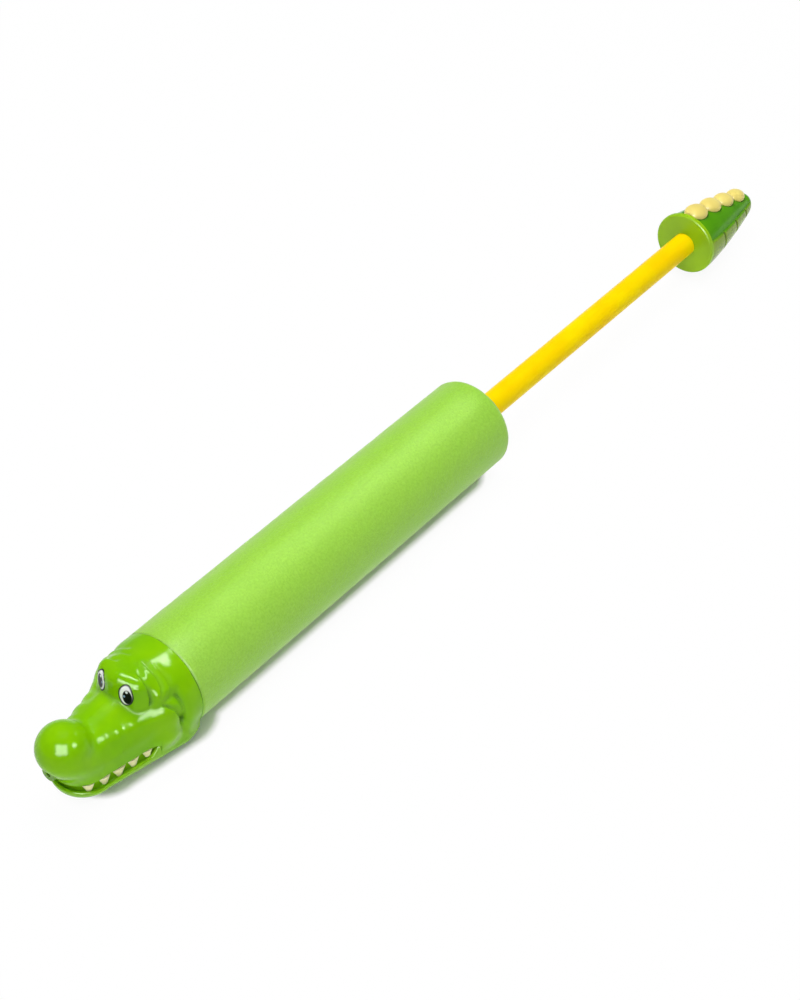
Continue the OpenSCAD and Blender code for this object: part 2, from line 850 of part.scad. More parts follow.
head_shell();
lower_jaw();
tooth_strip();
left_eye();
right_eye();
nozzle_plug();
plug_seal();
nozzle_tip();
barrel_tube();
foam_sleeve();
rear_cap();
rod_bush();
stop_washer();
piston_core();
piston_seals();
plunger_rod();
rod_front_plug();
piston_screw();
rod_rear_plug();
tail_screw();
tail_end_cap();
tail_shell();
back_scutes();
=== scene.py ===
"""Crocodile water squirter: glossy moulded head and tail, foam sleeve and yellow plunger rod.

The forms are written in millimetres: x counts forward from the collar's rear edge,
y to the crocodile's left, z up from the barrel axis. place() turns them into the frame's metres.
"""
import math

import bpy
import numpy as np
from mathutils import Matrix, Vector, noise


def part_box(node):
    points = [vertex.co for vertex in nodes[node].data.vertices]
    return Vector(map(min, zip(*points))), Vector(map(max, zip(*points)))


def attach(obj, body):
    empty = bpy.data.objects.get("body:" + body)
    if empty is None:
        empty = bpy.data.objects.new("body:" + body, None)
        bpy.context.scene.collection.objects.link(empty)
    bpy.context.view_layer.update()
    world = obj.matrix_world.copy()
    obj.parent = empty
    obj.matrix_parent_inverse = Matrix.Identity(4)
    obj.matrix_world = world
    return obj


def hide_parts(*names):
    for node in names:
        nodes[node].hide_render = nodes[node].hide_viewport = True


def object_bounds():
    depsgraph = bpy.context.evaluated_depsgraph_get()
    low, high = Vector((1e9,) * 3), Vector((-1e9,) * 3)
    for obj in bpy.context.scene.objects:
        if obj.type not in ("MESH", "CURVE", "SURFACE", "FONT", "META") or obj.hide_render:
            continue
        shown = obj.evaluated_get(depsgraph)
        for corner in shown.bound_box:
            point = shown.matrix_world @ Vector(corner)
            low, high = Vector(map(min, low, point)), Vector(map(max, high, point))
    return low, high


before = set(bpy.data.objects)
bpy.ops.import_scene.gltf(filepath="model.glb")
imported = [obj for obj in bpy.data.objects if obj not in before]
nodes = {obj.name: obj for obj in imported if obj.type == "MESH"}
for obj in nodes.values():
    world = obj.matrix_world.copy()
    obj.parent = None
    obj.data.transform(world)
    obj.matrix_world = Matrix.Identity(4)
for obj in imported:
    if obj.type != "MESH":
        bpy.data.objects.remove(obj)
cad_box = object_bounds()

# Sizes that come from the frame
MM = 0.001
ROD_LOW, ROD_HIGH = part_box("plunger_rod")
_, FOAM_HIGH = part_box("foam_sleeve")
ORIGIN = np.array([FOAM_HIGH.x, 0, (ROD_LOW.z + ROD_HIGH.z) / 2])


def station_box(node):
    """Corners of a CAD node in millimetres from the collar's rear edge and the axis."""
    return [(np.array(corner) - ORIGIN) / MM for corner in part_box(node)]


# Past the barrel's end, the socket has room for the front plug's flange and a small gap
FLANGE_ROOM = 3.3
(FOAM_REAR, _, FLOOR_Z), (_, FOAM_R, _) = station_box("foam_sleeve")
COLLAR_R = station_box("head_shell")[1][1]
BARREL_FRONT, BARREL_R, _ = station_box("barrel_tube")[1]
SOCKET_END = BARREL_FRONT + FLANGE_ROOM
TIP_R = station_box("nozzle_tip")[1][1]
DISC_R = station_box("tail_end_cap")[1][1]
(TAIL_END, _, _), (TAIL_FRONT, _, _) = station_box("tail_shell")
TAIL_LEN = TAIL_FRONT - TAIL_END


def place(points):
    """Millimetre form points as metres in the frame."""
    return np.asarray(points) * MM + ORIGIN


# Signed distances of simple bodies, negative inside
TINY = 1e-9


def join(a, b, blend):
    """Two bodies run together with a fillet."""
    h = np.maximum(blend - np.abs(a - b), 0) / blend
    return np.minimum(a, b) - h * h * blend / 4


def meet(a, b, blend):
    """What two bodies share, with a rounded edge."""
    return -join(-a, -b, blend)


def ball(p, centre, r):
    """Sphere."""
    return np.linalg.norm(p - np.array(centre, float), axis=-1) - r


def oval(p, centre, radii):
    """Ellipsoid."""
    q = (p - np.array(centre, float)) / np.array(radii, float)
    slope = np.linalg.norm(q / np.array(radii, float), axis=-1) + TINY
    n = np.linalg.norm(q, axis=-1)
    return n * (n - 1) / slope


def limb(p, a, b, ra, rb):
    """Round-ended rod from a to b, with a radius at each end."""
    a = np.array(a, float)
    ab = np.array(b, float) - a
    t = np.clip(((p - a) @ ab) / (ab @ ab), 0, 1)
    return np.linalg.norm(p - a - t[..., None] * ab, axis=-1) - (ra + (rb - ra) * t)


def pad(p, a, b, drop, r):
    """Rounded plate whose core runs from a to b and then along drop."""
    a = np.array(a, float)
    across = np.array(b, float) - a
    drop = np.array(drop, float)
    q = p - a
    q = q - np.clip((q @ across) / (across @ across), 0, 1)[..., None] * across
    q = q - np.clip((q @ drop) / (drop @ drop), 0, 1)[..., None] * drop
    return np.linalg.norm(q, axis=-1) - r


def tongue(x, y, front_x, front_r, rear_x, rear_r):
    """Distance from a rounded, tapering outline seen from above."""
    t = np.clip((x - rear_x) / (front_x - rear_x), 0, 1)
    r = rear_r + (front_r - rear_r) * t
    return np.hypot(x - (rear_x + (front_x - rear_x) * t), y) - r


def drawn_in(outline, depth):
    """A tongue's outline made narrower all round."""
    front_x, front_r, rear_x, rear_r = outline
    return front_x, front_r - depth, rear_x, rear_r - depth


def mirrored(p):
    """Points folded onto the crocodile's left half."""
    return np.stack([p[..., 0], np.abs(p[..., 1]), p[..., 2]], -1)


def step_up(value, width):
    """0 below zero, 1 above width, smooth between."""
    t = np.clip(value / width, 0, 1)
    return t * t * (3 - 2 * t)


# Head form. BLEND is the width of a fillet between two forms and ROUND that of a rounded edge.
NOSE = (68.7, 0, 8.6)
NOSE_R = 14.1
NOSE_BLEND = 9
COLLAR_LEN = 12
COLLAR_CROWN_R = 34
COLLAR_ROUND = 4.5
COLLAR_BLEND = 1.5
# The skull behind the eyes keeps nearly the collar's radius on top and draws in over the cheeks,
# from a turn in degrees from the top and over a span of turn
SKULL_R = 27
SKULL_DRAW_IN = 5.5
SKULL_TURN = 44
SKULL_TURN_SPAN = 24
SKULL_FRONT = 25
SKULL_ROUND = 4
# Crown: centre and radii
CROWN = ((17, 0, 8), (18.5, 19.4, 20.2))
CROWN_BLEND = 3
# Eye mound: the two upper corners of its core, and how the core runs down from them
EYE_PAD = ((28.9, 1.2, 23.6), (26.3, 9, 22), (0.8, 0.2, -13))
EYE_PAD_R = 6
EYE_PAD_BLEND = 4
# Bridge: front and rear end, radius at each
BRIDGE = ((56, 0, 1), (30, 0, 2), 12.8, 15.6)
BRIDGE_BLEND = 1.6
# The cheek roll runs from the nose back to a bulge behind the mouth: places and radii
ROLL = [((61, 5.2, 2.5), 7.6), ((53, 5, 3.2), 7.8), ((45, 7, 3), 7.9),
        ((36.5, 8.6, 2.6), 8.2), ((18, 15.8, 4), 9.9), ((20.5, 17, -7), 9.2)]
ROLL_BLEND = 2
ROLL_BUMPS = [((53, 5.2, 3.3), 8.9), ((45, 7.2, 3.1), 9), ((36.5, 8.9, 2.7), 9.3)]
BUMP_BLEND = 1.6
MUZZLE_BLEND = 4
SNOUT_BLEND = 1.1
# Folds behind each eye and behind the cheek's bulge: turn from the top in degrees and station
# along each crease, depth, and the length over which the skin rises again behind it
FOLDS = [((14, 20, 29, 43, 51), (24, 24.5, 25, 25.5, 26.5), 0.9, 4.4),
         ((9, 19, 30, 40, 50), (17, 17.2, 17.3, 18.5, 21.5), 0.7, 3.8),
         ((19, 30, 38, 48, 57), (13.2, 13.4, 13.5, 14.5, 17), 0.4, 3),
         ((60, 73, 87, 100, 114), (21.5, 17.5, 15.5, 14.5, 14), 1.4, 4)]
FOLD_WALL = 1.1
FOLD_FADE = 5
# The lip and jaw outlines seen from above: front station, half width, rear station, half width
LIP = (59, 15.3, 20, 22.5)
JAW = (57.8, 17.7, 10, 25.1)
LIP_MID_Z = -6
LIP_HALF_H = 8
LIP_ROUND = 5
MOUTH_Z = -11
MOUTH_CORNER = 28
MOUTH_ROUND = 1
RIM_Z = -15.6
RIM_RISE = 1.6
RIM_RISE_X = 60
RIM_RISE_LEN = 15
RIM_W = 2
# The jaw's top falls from its rear to where the mouth opens, and its underside rises to the chin
JAW_TOP_X = 8
JAW_TOP_Z = -3
JAW_TOP_FALL = 5
JAW_TOP_ROUND = 3
JAW_LOW = -25
CHIN_RISE = 3.4
JAW_ROUND = 8
JAW_BLEND = 3
JAW_REAR = 27
JAW_LAP = 1.5
JAW_UNDER = 0.05
JAW_GAP = 0.1
GUM_INSET = 2.4
GUM_SINK = 1
TROUGH_Z = -18
TROUGH_ROUND = 0.8
STEM_HOLLOW_R = 9.4
STEM_HOLLOW_END = 64
GAP = 0.3


def fold_depth(p):
    """How far the folds lie below the smooth skin: a steep wall facing back, then a slow rise."""
    turn = np.degrees(np.arctan2(p[..., 1], p[..., 2]))
    depth = np.zeros(turn.shape)
    for turns, stations, deep, rise in FOLDS:
        behind = np.interp(turn, turns, stations) - p[..., 0]
        wall = step_up(behind + FOLD_WALL / 2, FOLD_WALL)
        back = 1 - step_up(behind - FOLD_WALL / 2, rise)
        share = np.minimum(step_up(turn - turns[0] + FOLD_FADE, 2 * FOLD_FADE),
                           step_up(turns[-1] + FOLD_FADE - turn, 2 * FOLD_FADE))
        depth = np.maximum(depth, deep * share * wall * back)
    return depth


def upper_head(p):
    """Skull, eye mounds, snout and nose, without bores."""
    p = mirrored(p)
    x, y, z = p[..., 0], p[..., 1], p[..., 2]
    rad = np.hypot(y, z)
    turn = np.degrees(np.arctan2(y, z))
    drum = meet(rad - SKULL_R + SKULL_DRAW_IN * step_up(turn - SKULL_TURN, SKULL_TURN_SPAN),
                x - SKULL_FRONT, SKULL_ROUND)
    crowned = rad - COLLAR_R + (x - COLLAR_LEN / 2) ** 2 / (2 * COLLAR_CROWN_R)
    skull = join(meet(crowned, x - COLLAR_LEN, COLLAR_ROUND), drum, COLLAR_BLEND)
    skull = join(skull, oval(p, *CROWN), CROWN_BLEND)
    skull = join(skull, pad(p, *EYE_PAD, EYE_PAD_R), EYE_PAD_BLEND)
    roll = limb(p, ROLL[0][0], ROLL[1][0], ROLL[0][1], ROLL[1][1])
    for (a, ra), (b, rb) in zip(ROLL[1:], ROLL[2:]):
        roll = join(roll, limb(p, a, b, ra, rb), ROLL_BLEND)
    for centre, r in ROLL_BUMPS:
        roll = join(roll, ball(p, centre, r), BUMP_BLEND)
    lip = meet(tongue(x, y, *LIP), np.abs(z - LIP_MID_Z) - LIP_HALF_H, LIP_ROUND)
    muzzle = join(lip, ball(p, NOSE, NOSE_R), NOSE_BLEND)
    snout = join(join(limb(p, *BRIDGE), roll, BRIDGE_BLEND), muzzle, MUZZLE_BLEND)
    head = join(skull, snout, SNOUT_BLEND)
    return head + fold_depth(p)


def jaw_mass(p):
    """Lower jaw before the mouth is opened."""
    p = mirrored(p)
    x, y, z = p[..., 0], p[..., 1], p[..., 2]
    front_x, _, rear_x, _ = JAW
    low = JAW_LOW + CHIN_RISE * np.clip((x - rear_x) / (front_x - rear_x), 0, 1)
    high = JAW_TOP_Z - JAW_TOP_FALL * np.clip((x - JAW_TOP_X) / (JAW_REAR - JAW_TOP_X), 0, 1)
    return meet(meet(tongue(x, y, *JAW), low - z, JAW_ROUND), z - high, JAW_TOP_ROUND)


def head_form(p):
    """Whole upper moulding with the barrel's socket and the nozzle's hollow."""
    x, z = p[..., 0], p[..., 2]
    rad = np.hypot(p[..., 1], z)
    upper = upper_head(p)
    solid = np.where(x > JAW_REAR, meet(upper, MOUTH_Z - z, MOUTH_ROUND),
                     join(upper, jaw_mass(p), JAW_BLEND))
    solid = np.maximum(np.maximum(solid, -x), FLOOR_Z - z)
    socket = np.maximum(rad - BARREL_R - GAP, x - SOCKET_END)
    hollow = np.maximum(rad - STEM_HOLLOW_R, x - STEM_HOLLOW_END)
    outlet = rad - TIP_R - GAP
    return np.maximum(solid, -np.minimum(np.minimum(socket, hollow), outlet))


def jaw_form(p):
    """Lower jaw: a tray with a rim, a trough and the block that the teeth stand on."""
    x, y, z = p[..., 0], np.abs(p[..., 1]), p[..., 2]
    solid = np.maximum(jaw_mass(p) + JAW_UNDER, z - MOUTH_Z + JAW_GAP)
    solid = np.maximum(solid, JAW_REAR - JAW_LAP - x)
    rim = np.maximum(RIM_Z + RIM_RISE * step_up(x - RIM_RISE_X, RIM_RISE_LEN),
                     MOUTH_Z + MOUTH_CORNER - x)
    mouth = np.maximum(rim - z, MOUTH_CORNER - x)
    solid = meet(solid, -mouth, MOUTH_ROUND)
    trough = np.maximum(tongue(x, y, *drawn_in(JAW, RIM_W)), TROUGH_Z - z)
    trough = np.maximum(trough, MOUTH_CORNER - x)
    solid = meet(solid, -trough, TROUGH_ROUND)
    gum = np.maximum(tongue(x, y, *drawn_in(LIP, GUM_INSET)), z - MOUTH_Z + GAP)
    gum = np.maximum(gum, TROUGH_Z - GUM_SINK - z)
    return np.minimum(solid, np.maximum(gum, JAW_REAR + JAW_GAP - x))


# Teeth. The middle one is larger and the end ones smaller by the share TOOTH_VARY.
TEETH = 5
TOOTH_FRONT = 66.5
TOOTH_PITCH = 8.4
TOOTH_HALF_W = 3.6
TOOTH_THIN = 0.55
TOOTH_LEN = 5.8
TOOTH_TIP = 1.8
TOOTH_INSET = 1.6
TOOTH_SINK = 0.2
TOOTH_LEAN = 0.3
TOOTH_VARY = 0.12


def lip_edge(x, depth):
    """Half width of the drawn-in lip at a station, and its outward turn there in radians."""
    front_x, front_r, rear_x, rear_r = LIP
    if x > front_x:
        r = front_r - depth
        return math.sqrt(max(r * r - (x - front_x) ** 2, 0)), math.asin(min((x - front_x) / r, 1))
    slope = (front_r - rear_r) / (front_x - rear_x)
    return front_r - depth + slope * (x - front_x), math.atan(-slope)


def teeth_form(p):
    """Blunt triangular teeth along both sides of the upper lip."""
    p = mirrored(p)
    middle = (TEETH - 1) / 2
    row = []
    for i in range(TEETH):
        x = TOOTH_FRONT - TOOTH_PITCH * i
        y, turn = lip_edge(x, TOOTH_INSET)
        along = np.array([math.cos(turn), -math.sin(turn), 0])
        out = np.array([math.sin(turn), math.cos(turn), 0])
        q = p - np.array([x, y, MOUTH_Z - TOOTH_SINK])
        local = np.stack([q @ along, (q @ out) / TOOTH_THIN, q[..., 2]], -1)
        size = 1 + TOOTH_VARY * math.cos(math.pi * (i - middle) / middle)
        tip = (0, TOOTH_LEAN, -TOOTH_LEN * size + TOOTH_TIP)
        row.append(limb(local, (0, 0, 0), tip, TOOTH_HALF_W * size, TOOTH_TIP) * TOOTH_THIN)
    return np.maximum(np.minimum.reduce(row), p[..., 2] - MOUTH_Z)


# Tail
TAIL_TILT = math.radians(4.5)
TAIL_TIP_R = 8.6
TAPER_POWER = 1.35
# Belly plates: turn of their upper edge from straight down, height, softness of the edge in
# radians, and where they end and fade before the tip
BELLY_TOP = math.radians(114)
BELLY_RAISE = 1.1
BELLY_EDGE = 0.06
BELLY_END = 4
BELLY_FADE = 6
BELLY_MIN_R = 3
# Grooves between the plates: distance behind the disc, bow towards the back, shift and half width
GROOVES = [19, 39, 57]
GROOVE_BOW = 4
GROOVE_SHIFT = 2
GROOVE_HALF_W = 0.7
# Scutes: distance behind the disc, half length, half width and height of each dome
SCUTES = [(8, 9.2, 7.0, 4.1), (25.5, 8.9, 6.6, 3.9), (42, 8.5, 6.2, 3.7), (57.5, 8.0, 5.7, 3.5)]
SCUTE_SINK = 1
SCUTE_SPAN = 4
SCUTE_BLEND = 0.4
SCUTE_GAP = 0.1


def tail_radius(s):
    """Radius of the tail at a distance behind the disc."""
    straight = TAIL_LEN - TAIL_TIP_R
    r = DISC_R - (DISC_R - TAIL_TIP_R) * np.clip(s / straight, 0, 1) ** TAPER_POWER
    end = np.clip(s - straight, 0, TAIL_TIP_R)
    return np.where(s > straight, np.sqrt(np.maximum(TAIL_TIP_R ** 2 - end ** 2, 0)), r)


def tail_drop(s):
    """How far the tail's middle line lies below the axis."""
    return np.tan(TAIL_TILT) * s


def tail_back(s):
    """Height of the tail's back above the axis."""
    return float(tail_radius(np.array(s)) - tail_drop(np.array(s)))


# The belly plates' upper edge lies nearly in one plane: its direction and level in the frame
BELLY_TAPER = (DISC_R - TAIL_TIP_R) / (TAIL_LEN - TAIL_TIP_R)
BELLY_SLOPE = math.tan(TAIL_TILT) - math.cos(BELLY_TOP) * BELLY_TAPER
BELLY_ACROSS = (-BELLY_SLOPE, 0, 1)
BELLY_EDGE_START = place((TAIL_FRONT, 0, -DISC_R * math.cos(BELLY_TOP)))
BELLY_LEVEL = float(np.dot(BELLY_EDGE_START, BELLY_ACROSS))


# Mesh helpers. A field is worked out in coarse blocks first, and finely only near the skin.
BLOCK = 4
NEAR_BLOCKS = 1.5
SETTLE_ROUNDS = 2
SETTLE_REACH = 0.5
SLOPE_REACH = 0.05


def new_object(name, points, faces, smooth=True):
    """Mesh object from points in metres and lists of point numbers."""
    mesh = bpy.data.meshes.new(name)
    mesh.from_pydata(points.tolist(), [], faces)
    mesh.polygons.foreach_set("use_smooth", [smooth] * len(mesh.polygons))
    mesh.update()
    obj = bpy.data.objects.new(name, mesh)
    bpy.context.scene.collection.objects.link(obj)
    return obj


def slope_of(field, p):
    """Gradient of a field by central differences."""
    g = np.zeros_like(p)
    for axis in range(3):
        step = np.zeros(3)
        step[axis] = SLOPE_REACH
        g[:, axis] = (field(p + step) - field(p - step)) / (2 * SLOPE_REACH)
    return g


def field_mesh(name, field, box, step):
    """Smooth quad skin on the zero surface of a field, inside a box."""
    low, high = np.array(box, float)
    blocks = np.ceil((high - low) / (BLOCK * step)).astype(int)

    def lattice(count, pitch):
        axes = [low[i] + pitch * (np.arange(count[i]) + 0.5) for i in range(3)]
        return np.stack(np.meshgrid(*axes, indexing="ij"), -1)

    value = field(lattice(blocks, BLOCK * step))
    for axis in range(3):
        value = value.repeat(BLOCK, axis)
    near = np.abs(value) < NEAR_BLOCKS * BLOCK * step
    value[near] = field(lattice(blocks * BLOCK, step)[near])
    # Every lattice edge that crosses the skin makes a quad of the four cells round it
    total = np.zeros(value.shape + (3,))
    hits = np.zeros(value.shape)
    rings = []
    for axis in range(3):
        ahead = np.roll(value, -1, axis)
        edge = np.argwhere((value < 0) != (ahead < 0))
        v0, v1 = value[tuple(edge.T)], ahead[tuple(edge.T)]
        crossing = low + step * (edge + 0.5)
        crossing[:, axis] += step * v0 / (v0 - v1)
        ring = []
        for back_u, back_v in ((0, 0), (1, 0), (1, 1), (0, 1)):
            cell = edge.copy()
            cell[:, (axis + 1) % 3] -= back_u
            cell[:, (axis + 2) % 3] -= back_v
            np.add.at(total, tuple(cell.T), crossing)
            np.add.at(hits, tuple(cell.T), 1)
            ring.append(np.ravel_multi_index(tuple(cell.T), value.shape))
        ring = np.stack(ring, -1)
        ring[v0 > 0] = ring[v0 > 0][:, ::-1]
        rings.append(ring)
    # Each cell's point starts at the mean of its crossings and then settles on the skin
    used = np.flatnonzero(hits.ravel())
    index = np.zeros(hits.size, int)
    index[used] = np.arange(len(used))
    points = (total.reshape(-1, 3)[used].T / hits.ravel()[used]).T
    for _ in range(SETTLE_ROUNDS):
        g = slope_of(field, points)
        move = g * (field(points) / (np.sum(g * g, 1) + TINY))[:, None]
        size = np.linalg.norm(move, axis=1, keepdims=True)
        points = points - move * np.minimum(1, SETTLE_REACH * step / (size + TINY))
    return new_object(name, place(points), index[np.concatenate(rings)].tolist())


def tube_faces(rows, columns):
    """Quads over rows of points that each run round a ring."""
    i, j = np.meshgrid(np.arange(rows - 1), np.arange(columns), indexing="ij")
    k = (j + 1) % columns
    return np.stack([i * columns + j, i * columns + k, (i + 1) * columns + k,
                     (i + 1) * columns + j], -1).reshape(-1, 4)


# Materials. Colours are written as 0 to 255, lengths in metres.
NOISE_RANGE = (0.3, 0.7)
AO_SAMPLES = 8
# Painted shade in folds: how far the occlusion looks, the occlusion range over which the colour
# darkens, and the range and amount of roughness added there
CREASE_REACH = 0.0025
CREASE_SHADE = (0.92, 0.6)
CREASE_DULLNESS = (0.98, 0.82)
CREASE_DULL = 0.7


def srgb(r, g, b):
    """Colour written as 0 to 255, as the linear values that a shader takes."""
    linear = [c / 255 / 12.92 if c < 11 else ((c / 255 + 0.055) / 1.055) ** 2.4 for c in (r, g, b)]
    return (*linear, 1)


def add(tree, kind, inputs=None, **settings):
    """New node, with each input linked to a socket or set to a value."""
    node = tree.nodes.new(kind)
    for key, value in settings.items():
        setattr(node, key, value)
    for key, value in (inputs or {}).items():
        if isinstance(value, bpy.types.NodeSocket):
            tree.links.new(value, node.inputs[key])
        else:
            node.inputs[key].default_value = value
    return node


def new_material(name):
    """Material with an empty tree, its output node and its texture coordinates."""
    material = bpy.data.materials.new(name)
    material.use_nodes = True
    tree = material.node_tree
    tree.nodes.clear()
    output = add(tree, "ShaderNodeOutputMaterial")
    coords = add(tree, "ShaderNodeTexCoord")
    return material, tree, output, coords


def noise_value(tree, coords, scale, detail=3):
    """Noise over the piece's own coordinates."""
    inputs = {"Vector": coords.outputs["Object"], "Scale": scale, "Detail": detail}
    return add(tree, "ShaderNodeTexNoise", inputs).outputs["Fac"]


def two_tone(tree, value, dark, light):
    """Colour that runs from dark to light with a noise."""
    node = add(tree, "ShaderNodeValToRGB", {"Fac": value})
    for element, position, colour in zip(node.color_ramp.elements, NOISE_RANGE, (dark, light)):
        element.position = position
        element.color = colour
    return node.outputs["Color"]


def map_range(tree, value, start, end, low=0.0, high=1.0):
    """Value carried from one range to another and held at its ends."""
    return add(tree, "ShaderNodeMapRange", {"Value": value, "From Min": start, "From Max": end,
                                            "To Min": low, "To Max": high}).outputs["Result"]


def maths(tree, operation, *values):
    """Result of a Math node."""
    return add(tree, "ShaderNodeMath", dict(enumerate(values)), operation=operation).outputs[0]


def occlusion(tree, reach):
    """1 in the open, less where something else is within reach."""
    node = add(tree, "ShaderNodeAmbientOcclusion", {"Distance": reach}, samples=AO_SAMPLES)
    return node.outputs["AO"]


def tinted(tree, colour, share, tint):
    """Colour that turns to a tint by a share. 6, 7 and 2 are the Mix node's colour sockets."""
    return add(tree, "ShaderNodeMix", {0: share, 6: colour, 7: tint}, data_type="RGBA").outputs[2]


def bumps(tree, height, strength, depth, over=None):
    """Normal of a fine relief, on top of another normal where one is given."""
    inputs = {"Height": height, "Strength": strength, "Distance": depth}
    if over is not None:
        inputs["Normal"] = over
    return add(tree, "ShaderNodeBump", inputs).outputs["Normal"]


def surface(tree, output, inputs):
    """Principled shader on a material's surface."""
    shader = add(tree, "ShaderNodeBsdfPrincipled", inputs)
    tree.links.new(shader.outputs[0], output.inputs["Surface"])


# Moulded plastic: scales of its flow marks and of its fine skin, and how deep both are
FLOW_SCALE = 45
FLOW_BUMP = 0.06
FLOW_DEPTH = 0.0015
SKIN_SCALE = 900
SKIN_BUMP = 0.03
SKIN_DEPTH = 0.0004
PLASTIC_IOR = 1.5
TINT_EDGE = 0.001
# Ranges of roughness
GLOSSY = (0.1, 0.16)
SATIN = (0.3, 0.42)


def moulded(name, light, dark, rough=GLOSSY, gloss=0.3, bump=SKIN_BUMP, crease_shade=None, under=None):
    """Injection-moulded plastic with faint flow marks and a fine skin.

    crease is painted shade: the colour that the skin darkens to deep in its folds, where
    occlusion finds a wall close by. under is a second colour below a plane, with the plane's
    direction and level.
    """
    material, tree, output, coords = new_material(name)
    flow = noise_value(tree, coords, FLOW_SCALE)
    skin = noise_value(tree, coords, SKIN_SCALE)
    colour = two_tone(tree, flow, srgb(*dark), srgb(*light))
    roughness = map_range(tree, skin, *NOISE_RANGE, *rough)
    if under:
        tint, across, level = under
        above = add(tree, "ShaderNodeVectorMath", {0: coords.outputs["Object"], 1: across},
                    operation="DOT_PRODUCT")
        below = map_range(tree, above.outputs["Value"], level, level - TINT_EDGE)
        colour = tinted(tree, colour, below, srgb(*tint))
    # Painted shade: where occlusion finds the fold's walls close by, the colour darkens towards the
    # crease colour and the skin turns rougher
    if crease_shade:
        near = occlusion(tree, CREASE_REACH)
        depth = map_range(tree, near, *CREASE_SHADE)
        dullness = map_range(tree, near, *CREASE_DULLNESS)
        colour = tinted(tree, colour, depth, srgb(*crease_shade))
        roughness = maths(tree, "MULTIPLY_ADD", dullness, CREASE_DULL, roughness)
    relief = bumps(tree, skin, bump, SKIN_DEPTH)
    relief = bumps(tree, flow, FLOW_BUMP, FLOW_DEPTH, relief)
    surface(tree, output, {"Base Color": colour, "Roughness": roughness, "Normal": relief,
                           "IOR": PLASTIC_IOR, "Specular IOR Level": gloss})
    return material


# Foam: scales of its cells and of its mottling, strength and depth of both
FOAM_DARK = (142, 202, 44)
FOAM_LIGHT = (158, 215, 58)
FOAM_ROUGH = (0.42, 0.55)
CELL_SCALE = 1300
CELL_BUMP = 0.35
CELL_DEPTH = 0.0004
MOTTLE_SCALE = 800
MOTTLE_DETAIL = 5
MOTTLE_BUMP = 0.3
MOTTLE_DEPTH = 0.0006


def foam_material():
    """Closed-cell foam: fine cells, soft broad sheen and a little light passing through."""
    material, tree, output, coords = new_material("foam_green")
    cells = add(tree, "ShaderNodeTexVoronoi", {"Vector": coords.outputs["Object"],
                                               "Scale": CELL_SCALE})
    mottle = noise_value(tree, coords, MOTTLE_SCALE, MOTTLE_DETAIL)
    relief = bumps(tree, cells.outputs["Distance"], CELL_BUMP, CELL_DEPTH)
    relief = bumps(tree, mottle, MOTTLE_BUMP, MOTTLE_DEPTH, relief)
    colour = two_tone(tree, mottle, srgb(*FOAM_DARK), srgb(*FOAM_LIGHT))
    surface(tree, output, {"Base Color": colour,
                           "Roughness": map_range(tree, mottle, *NOISE_RANGE, *FOAM_ROUGH),
                           "Normal": relief, "Specular IOR Level": 0.25,
                           "Sheen Weight": 0.3, "Sheen Roughness": 0.5,
                           "Subsurface Weight": 0.15, "Subsurface Scale": 0.004,
                           "Subsurface Radius": (0.6, 1, 0.3)})
    return material


# Printed eye, on coordinates from -1 to 1 across and up: centre, half size and colour
EYE_LAYERS = [((0, 0), (0.84, 0.89), (252, 255, 254)),
              ((0.18, -0.16), (0.63, 0.69), (4, 7, 12)),
              ((0.12, 0.34), (0.18, 0.13), (240, 244, 246)),
              ((-0.24, -0.12), (0.14, 0.11), (150, 180, 208))]
INK_DARK = (3, 8, 6)
INK_LIGHT = (10, 18, 14)
INK_ROUGH = (0.25, 0.35)
INK_SCALE = 1500
PRINT_SOFT = 0.06


def oval_mask(tree, uv, centre, half):
    """1 inside an oval on the print's own coordinates, 0 outside."""
    moved = add(tree, "ShaderNodeMapping",
                {"Vector": uv, "Location": (-centre[0] / half[0], -centre[1] / half[1], 0),
                 "Scale": (1 / half[0], 1 / half[1], 1)})
    length = add(tree, "ShaderNodeVectorMath", {0: moved.outputs[0]}, operation="LENGTH")
    return map_range(tree, length.outputs["Value"], 1 + PRINT_SOFT, 1 - PRINT_SOFT)


def eye_material():
    """Pad-printed eye: dark outline, white, pupil and two glints."""
    material, tree, output, coords = new_material("eye_print")
    ink = noise_value(tree, coords, INK_SCALE)
    colour = two_tone(tree, ink, srgb(*INK_DARK), srgb(*INK_LIGHT))
    for centre, half, rgb in EYE_LAYERS:
        mask = oval_mask(tree, coords.outputs["UV"], centre, half)
        colour = tinted(tree, colour, mask, srgb(*rgb))
    surface(tree, output, {"Base Color": colour, "Specular IOR Level": 0.08,
                           "Roughness": map_range(tree, ink, *NOISE_RANGE, *INK_ROUGH)})
    return material


# Plated steel
STEEL_DARK = (150, 150, 152)
STEEL_LIGHT = (200, 200, 202)
STEEL_ROUGH = (0.25, 0.4)
STEEL_SCALE = 1200


def metal_material():
    """Zinc-plated steel of the screws."""
    material, tree, output, coords = new_material("screw_steel")
    plating = noise_value(tree, coords, STEEL_SCALE)
    colour = two_tone(tree, plating, srgb(*STEEL_DARK), srgb(*STEEL_LIGHT))
    surface(tree, output, {"Base Color": colour, "Metallic": 1.0,
                           "Roughness": map_range(tree, plating, *NOISE_RANGE, *STEEL_ROUGH)})
    return material


